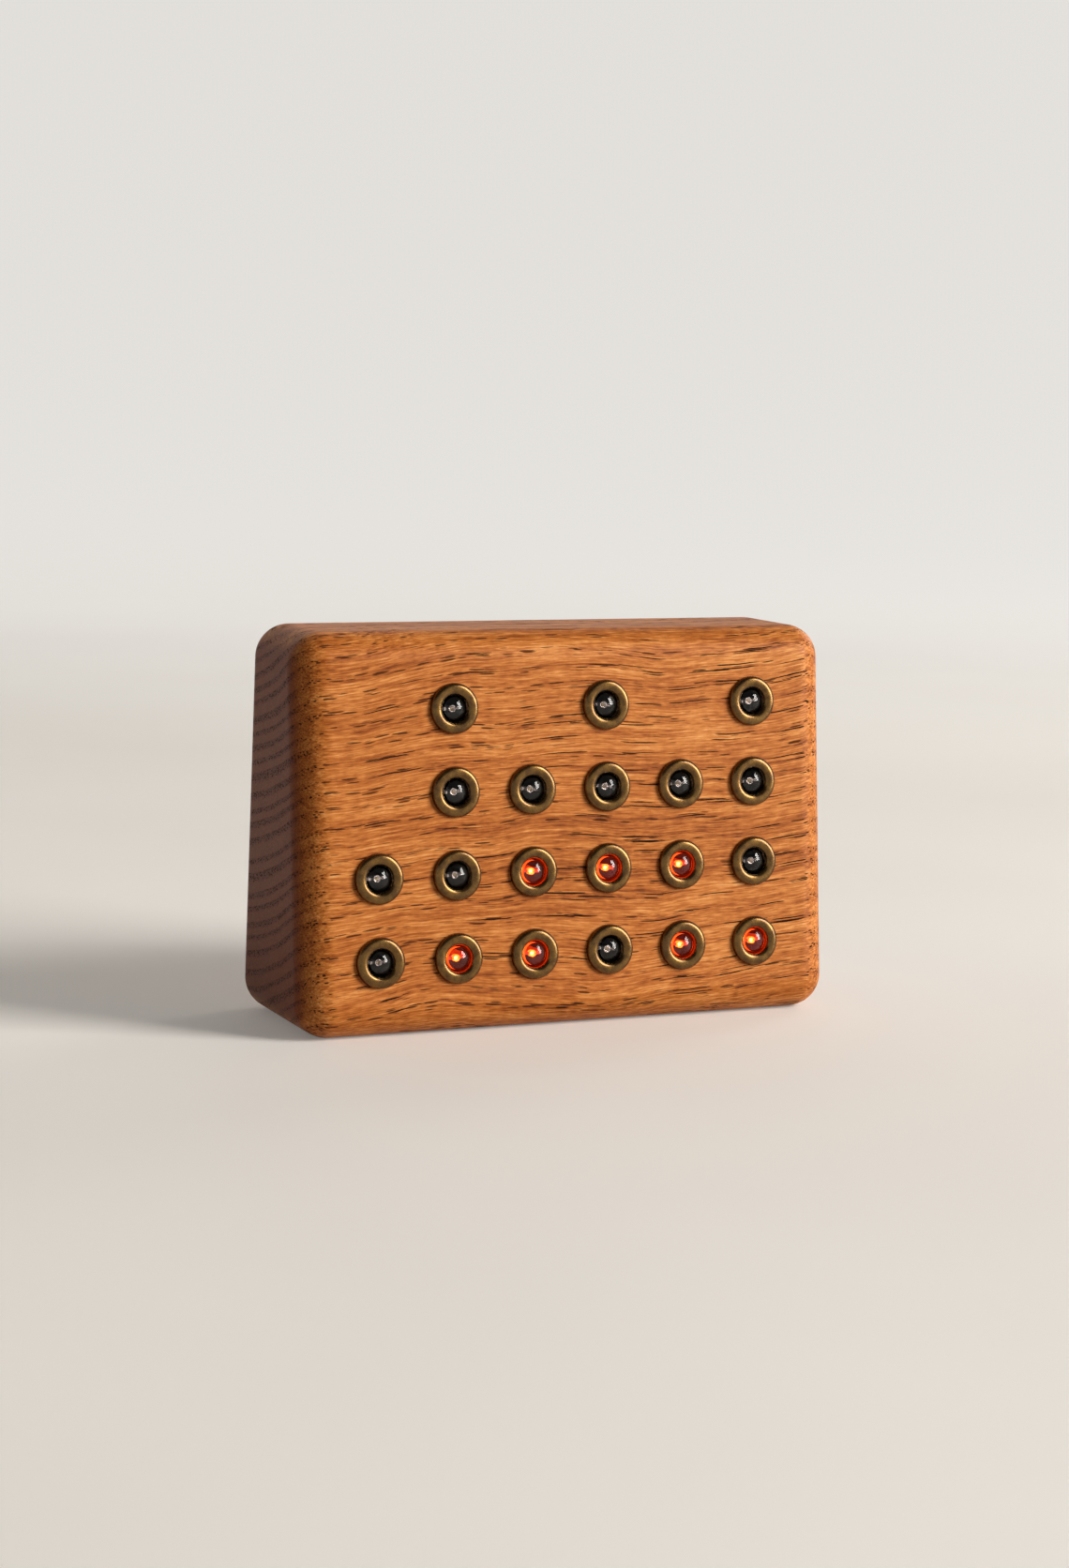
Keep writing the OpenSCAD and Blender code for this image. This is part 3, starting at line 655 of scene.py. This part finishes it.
# The pocket's floor is parallel to the leaning face
bmesh.ops.bisect_plane(
    pocket, geom=pocket.verts[:] + pocket.edges[:] + pocket.faces[:],
    plane_co=FACE_FRAME @ Vector((0, FACE_WALL, 0)),
    plane_no=FACE_FRAME.to_3x3() @ Vector((0, 1, 0)),
    clear_inner=True,
)
bmesh.ops.holes_fill(pocket, edges=[e for e in pocket.edges if e.is_boundary])
bmesh.ops.recalc_face_normals(pocket, faces=pocket.faces)
rebate = rounded_plate(COVER_W + 2 * COVER_GAP, COVER_H + 2 * COVER_GAP, COVER_R + COVER_GAP, -COVER_T, 1.0)
rebate.transform(on_cover(0, 0))
cutters = [pocket, rebate]
for column in range(len(DIGITS)):
    for row in range(BITS[column]):
        cutters.append(drill(BORE_R, -FACE_WALL - OVER, OVER, lamp_frame(column, row)))
for place in SCREW_PLACES:
    cutters.append(drill(SCREW_HOLE_R, -SCREW_HOLE_DEPTH, -1.0, on_cover(*place), SCREW_SIDES))
block = new_object("oak_block", carve("oak_block", block_form(), cutters), OAK, "oak", "case_block")
settle_normals(block)

cover = rounded_plate(COVER_W, COVER_H, COVER_R, -COVER_T, 0.0, 12, COVER_CHAMFER)
cover.transform(on_cover(0, 0))
holes = [(INLET_HOLE_R, INLET_AT, HOLE_SIDES)]
holes += [(SWITCH_HOLE_R, place, HOLE_SIDES) for place in (HOUR_AT, MINUTE_AT)]
holes += [(COVER_SCREW_R, place, SCREW_SIDES) for place in SCREW_PLACES]
cutters = [
    drill(radius, -COVER_T - OVER, 0.0, on_cover(*place), sides, HOLE_CHAMFER) for radius, place, sides in holes
]
piece = new_object("cover_panel", carve("cover_panel", cover, cutters), COVER_OAK, "cover_oak", "rear_cover")
settle_normals(piece)

# ---- LEDs ----

LENS_CLEAR = Nodes("led_epoxy_clear").set(
    Base_Color=rgb("#ffffff"), Roughness=0.03, IOR=1.42, Transmission_Weight=1.0,
)
# Painted light: a lit LED's clear epoxy is tinted pink for the die's red light inside it.
LENS_PAINTED_RED_TINT = Nodes("led_epoxy_painted_red_tint").set(
    Base_Color=rgb("#ffd9cf"), Roughness=0.03, IOR=1.42, Transmission_Weight=1.0,
)
FRAME_METAL = plain("led_frame_metal", "#f2e4de", "#b5a49e", 0.2, 1.0, 3.5, 0.0003)
DIE = plain("led_die", "#b9a36a", "#8c7a4c", 0.4)


def glowing(name, base, colour, strength, soft=0.25):
    """A surface that gives off light, a little unevenly: the die's own light, or painted light on parts that only
    pass the die's light on.
    """
    m = Nodes(name)
    cloud = m.fade(m.noise(m.place(), 0.9, 2.0, 0.5), 0.3, 0.7, 1.0 - soft, 1.0 + soft)
    return m.set(
        Base_Color=rgb(base), Roughness=0.4, Emission_Color=colour + (1.0,),
        Emission_Strength=m.math("MULTIPLY", cloud, strength),
    )


# Painted shade: the lens's foot, deep in the bore, is a near-black opaque sheet; on a lit LED the foot also has a
# faint painted red glow of the die's light.
LED_FOOT_PAINTED_SHADE = plain("led_foot_painted_shade", "#120c09", "#0a0604", 0.6)
LIT_FOOT_PAINTED_SHADE_GLOW = glowing("led_lit_foot_painted_shade_glow", "#1c0302", (1.0, 0.02, 0.002), 0.06, 0.6)
GLOW = glowing("led_glow", "#ff8a30", (1.0, 0.5, 0.08), 30.0)
# Painted glow on the flank of a lit lens, for the die's light reflected inside the lens and on the bore.
FLANK_PAINTED_GLOW = glowing("led_flank_painted_glow", "#7a0f06", (1.0, 0.06, 0.006), 3.0)
# Painted light of the die on a lit LED's lead frame, and a painted orange reflection of it in the frame's cup.
FRAME_PAINTED_GLOW = glowing("led_frame_painted_glow", "#c9705a", (1.0, 0.05, 0.005), 0.6)
CUP_PAINTED_GLOW = glowing("led_cup_painted_glow", "#ffa060", (1.0, 0.2, 0.015), 2.4)
# Each LED sits turned in its bore by its own small angle
LED_TURNS = {}
for number, lamp_name in enumerate(f"{d}_{VALUES[r]}" for c, d in enumerate(DIGITS) for r in range(BITS[c])):
    LED_TURNS[lamp_name] = math.radians(7.0 * math.sin(12.9898 * (number + 1)))


def led_profile():
    """Foot, rim, flank, softened shoulder and low dome of the lens."""
    shoulder_z = LED_LEN - LED_DOME_H
    ball_r = ((LED_R - 0.07) ** 2 + LED_DOME_H**2) / (2 * LED_DOME_H)
    top = math.asin((LED_R - 0.07) / ball_r)
    dome = [
        (ball_r * math.sin(top * (1 - i / 14)), LED_LEN - ball_r * (1 - math.cos(top * (1 - i / 14))))
        for i in range(15)
    ]
    dome[-1] = (0.0, LED_LEN)
    return [(0.0, 0.0), (LED_RIM_R - 0.15, 0.0), (LED_RIM_R, 0.15), (LED_RIM_R, LED_RIM_T - 0.1),
            (LED_RIM_R - 0.1, LED_RIM_T), (LED_R, LED_RIM_T), (LED_R, PAINTED_GLOW_FROM), (LED_R, shoulder_z - 0.07),
            (LED_R - 0.02, shoulder_z - 0.02)] + dome


def bezel_profile():
    """Closed outline: barrel and rolled flange, a little flattened on top."""
    middle, half = (BEZEL_R + BEZEL_BORE_R) / 2, (BEZEL_R - BEZEL_BORE_R) / 2
    points = [(BEZEL_BORE_R, -BARREL_LEN), (BEZEL_BORE_R, -0.01)]
    for i in range(37):
        c, rise = math.cos(math.pi * i / 36), math.sin(math.pi * i / 36)
        points.append((middle - half * math.copysign(abs(c) ** ROLL_EASE, c), half * abs(rise) ** ROLL_EASE))
    points += [(BEZEL_BORE_R + BEZEL_SHEET, 0.0), (BEZEL_BORE_R + BEZEL_SHEET, -BARREL_LEN)]
    return points + points[:1]


# Millimetres inside the lens: thickness of the frame's sheet, radius of the bond wire, the die's size and height
FRAME_THICK, WIRE_R, DIE_SIZE, DIE_AT = 0.45, 0.045, (0.3, 0.3, 0.22), 5.62


def plate_outline(bm, outline, thick):
    """A flat plate in the lens's xz plane from an outline of (x, z) points."""
    front = [bm.verts.new((x, -thick / 2, z)) for x, z in outline]
    back = [bm.verts.new((x, thick / 2, z)) for x, z in outline]
    bm.faces.new(front)
    bm.faces.new(back[::-1])
    for i in range(len(outline)):
        j = (i + 1) % len(outline)
        bm.faces.new((front[j], front[i], back[i], back[j]))


def add_turned(bm, profile, segments=40):
    part = turned(profile, segments)
    temp = bpy.data.meshes.new("part")
    part.to_mesh(temp)
    bm.from_mesh(temp)
    bpy.data.meshes.remove(temp)
    part.free()


def led_core(bm):
    """Lead frame inside the lens: anvil with its cup, and the post, in millimetres."""
    anvil = [
        (-1.5, 0.05), (-1.05, 0.05), (-1.05, 2.4), (-0.5, 3.2), (0.2, 3.9), (0.42, 5.0), (0.56, 5.5),
        (-0.56, 5.5), (-0.8, 5.1), (-1.45, 4.9), (-1.7, 4.2), (-1.7, 2.8), (-1.5, 2.4),
    ]
    post = [
        (1.05, 0.05), (1.5, 0.05), (1.5, 2.4), (1.75, 2.8), (1.75, 4.3), (1.45, 5.6),
        (0.8, 5.85), (0.72, 5.5), (0.98, 4.2), (0.78, 3.4), (1.05, 2.6),
    ]
    plate_outline(bm, anvil, FRAME_THICK)
    before = set(bm.faces)
    add_turned(bm, [(0.0, 5.5), (0.26, 5.5), (0.5, 5.95), (0.6, 5.95), (0.52, 4.9), (0.0, 4.9)])
    for face in set(bm.faces) - before:
        face.material_index = 1
    plate_outline(bm, post, FRAME_THICK)


def bond_wire(bm):
    """The hair-thin wire from the die to the post, drawn heavier so that it shows."""
    points = [(0.0, 0.0, 5.7), (0.25, 0.0, 6.2), (0.6, 0.0, 6.25), (0.95, 0.0, 5.8)]
    for a, b in zip(points, points[1:]):
        axis = Vector(b) - Vector(a)
        turn = axis.to_track_quat("Z", "Y").to_matrix().to_4x4()
        middle = Matrix.Translation((Vector(a) + Vector(b)) / 2) @ turn
        bmesh.ops.create_cone(
            bm, cap_ends=True, segments=8,
            radius1=WIRE_R, radius2=WIRE_R, depth=axis.length * 1.05, matrix=middle,
        )


for column, digit in enumerate(DIGITS):
    for row in range(BITS[column]):
        lamp = f"{digit}_{VALUES[row]}"
        lit = lamp in LIT
        lamp_at = lamp_frame(column, row)
        bezel = mesh_of(turned(bezel_profile(), BRASS_SIDES), f"eyelet_{lamp}", lamp_at)
        new_object(f"eyelet_{lamp}", bezel, BRASS, "antique_brass", f"bezel_{lamp}")
        foot = lamp_at @ Matrix.Translation((0, 0, LED_PROUD - LED_LEN))
        at = foot @ Matrix.Rotation(LED_TURNS[lamp], 4, "Z")
        lens = turned(led_profile(), LENS_SIDES)
        # The foot's faces take the near-black painted shade; on a lit LED the flank's faces take the painted red
        # glow.
        for face in lens.faces:
            z = face.calc_center_median().z
            painted_glow = lit and PAINTED_GLOW_FROM < z < LED_LEN - LED_DOME_H - 0.05
            face.material_index = 2 if painted_glow else 1 if z < LED_RIM_T + 0.05 else 0
        # The rim's flat side
        for v in lens.verts:
            if v.co.z < LED_RIM_T + 0.01:
                v.co.x = max(v.co.x, -LED_R)
        # On a lit LED the lens takes the pink tint of painted red light.
        piece = new_object(
            f"lens_{lamp}", mesh_of(lens, f"lens_{lamp}", at), LENS_PAINTED_RED_TINT if lit else LENS_CLEAR,
            "led_lit" if lit else "led_clear", f"led_{lamp}",
        )
        # The foot's material: painted shade, with a faint painted red glow on a lit LED.
        piece.data.materials.append(LIT_FOOT_PAINTED_SHADE_GLOW if lit else LED_FOOT_PAINTED_SHADE)
        # A lit lens also takes the painted red glow on its flank.
        if lit:
            piece.data.materials.append(FLANK_PAINTED_GLOW)
        core = bmesh.new()
        led_core(core)
        bond_wire(core)
        # On a lit LED the lead frame and its cup are drawn glowing: painted light of the die.
        piece = new_object(
            f"leadframe_{lamp}", mesh_of(core, f"leadframe_{lamp}", at), FRAME_PAINTED_GLOW if lit else FRAME_METAL,
            "tinned_wire",
        )
        piece.data.materials.append(CUP_PAINTED_GLOW if lit else FRAME_METAL)
        die = bmesh.new()
        block_at = Matrix.Translation((0, 0, DIE_AT)) @ Matrix.Diagonal((*DIE_SIZE, 1))
        bmesh.ops.create_cube(die, size=1.0, matrix=block_at)
        slot = "led_lit" if lit else "led_clear"
        new_object(f"die_{lamp}", mesh_of(die, f"die_{lamp}", at), GLOW if lit else DIE, slot)

# ---- Floor, light and camera ----


def pale(name, seen, bounced):
    """Paler to the eye, and in metal and glass, than the light it throws back on the clock."""
    m = Nodes(name)
    place = m.add("TexCoord").outputs["Object"]
    cloud = m.noise(place, 3.0, 3.0, 0.5)
    ray = m.add("LightPath").outputs
    shown = m.math("MAXIMUM", ray["Is Camera Ray"], ray["Is Glossy Ray"])
    shown = m.math("MAXIMUM", shown, ray["Is Transmission Ray"])
    near = m.mix(m.fade(cloud, 0.3, 0.7), rgb(seen), rgb("#efebe5"))
    # Away from the clock the floor and the wall show one even pale tone, whatever light falls on them
    far = m.fade(m.vmath("LENGTH", place), 0.4, 1.5)
    near = m.mix(far, near, rgb("#000000"))
    glow = m.math("ADD", m.math("MULTIPLY", far, 0.64), 0.15)
    return m.set(
        Base_Color=m.mix(shown, rgb(bounced), near), Roughness=0.7,
        Emission_Color=rgb(seen), Emission_Strength=m.math("MULTIPLY", shown, glow),
    )


floor_mesh = bpy.data.meshes.new("floor")
bm = bmesh.new()
# An oval floor that curves up into a wall all round: (distance in from the wall, height) of each ring
HALF_X, HALF_Y, MIDDLE_Y, CURVE, WALL_H, HALF_SIDES = 6.0, 4.35, -2.15, 1.2, 3.2, 48
rings = [(3.2, 0.0), (2.2, 0.0)]
for degrees in range(0, 91, 6):
    a = math.radians(degrees)
    rings.append((CURVE * (1 - math.sin(a)), CURVE * (1 - math.cos(a))))
rings.append((0.0, WALL_H))
loops = [
    [
        bm.verts.new((
            (HALF_X - inset) * math.cos(math.pi * k / HALF_SIDES),
            MIDDLE_Y + (HALF_Y - inset) * math.sin(math.pi * k / HALF_SIDES),
            z,
        ))
        for k in range(2 * HALF_SIDES)
    ]
    for inset, z in rings
]
bm.faces.new(loops[0])
for a, b in zip(loops, loops[1:]):
    for k in range(2 * HALF_SIDES):
        j = (k + 1) % (2 * HALF_SIDES)
        bm.faces.new((a[k], b[k], b[j], a[j])).smooth = True
bm.to_mesh(floor_mesh)
bm.free()
floor = bpy.data.objects.new("floor", floor_mesh)
bpy.context.scene.collection.objects.link(floor)
floor_mesh.materials.append(pale("floor_pale", "#f7f4ef", "#b9b2a8"))

world = bpy.data.worlds.new("studio")
bpy.context.scene.world = world
world.use_nodes = True
world.node_tree.nodes["Background"].inputs["Color"].default_value = (1.0, 0.98, 0.95, 1.0)
world.node_tree.nodes["Background"].inputs["Strength"].default_value = 0.1

# The lights aim at a point in the middle of the clock, this many metres up
AIM_H = 0.045


def area_light(name, at, size, power, colour):
    data = bpy.data.lights.new(name, "AREA")
    data.shape = "RECTANGLE"
    data.size, data.size_y = size
    data.energy = power
    data.color = colour
    lamp = bpy.data.objects.new(name, data)
    lamp.location = at
    lamp.rotation_mode = "QUATERNION"
    lamp.rotation_quaternion = (Vector((0.0, 0.0, AIM_H)) - Vector(at)).to_track_quat("-Z", "Y")
    bpy.context.scene.collection.objects.link(lamp)


def around(azimuth, elevation, distance):
    """A place seen from the clock: azimuth to the right of straight ahead."""
    a, e = math.radians(azimuth), math.radians(elevation)
    x, y = distance * math.sin(a) * math.cos(e), -distance * math.cos(a) * math.cos(e)
    return (x, y, AIM_H + distance * math.sin(e))


area_light("key", around(50, 22, 3.2), (1.2, 2.25), 134.0, (1.0, 0.965, 0.92))
area_light("rear", around(125, 14, 3.2), (1.8, 1.5), 46.0, (1.0, 0.98, 0.95))

camera_data = bpy.data.cameras.new("camera")
camera_data.sensor_width = 36.0
camera_data.lens = 70.883
camera_data.clip_start, camera_data.clip_end = 0.01, 20.0
camera = bpy.data.objects.new("camera", camera_data)
bpy.context.scene.collection.objects.link(camera)
# The photograph's viewpoint, from one fit of the twenty eyelets' outlines and the block's; the place in millimetres
right = Vector((0.91566827, -0.40136057, 0.02147835))
up = Vector((0.03391305, 0.1303955, 0.99088189))
look = Vector((0.4005016, 0.90659071, -0.13301038))
basis = Matrix((right, up, -look)).transposed().to_4x4()
camera.matrix_world = Matrix.Translation(Vector((-279.128, -628.824, 143.285)) * MM) @ basis
bpy.context.scene.camera = camera

bpy.context.scene.view_settings.view_transform = "Standard"
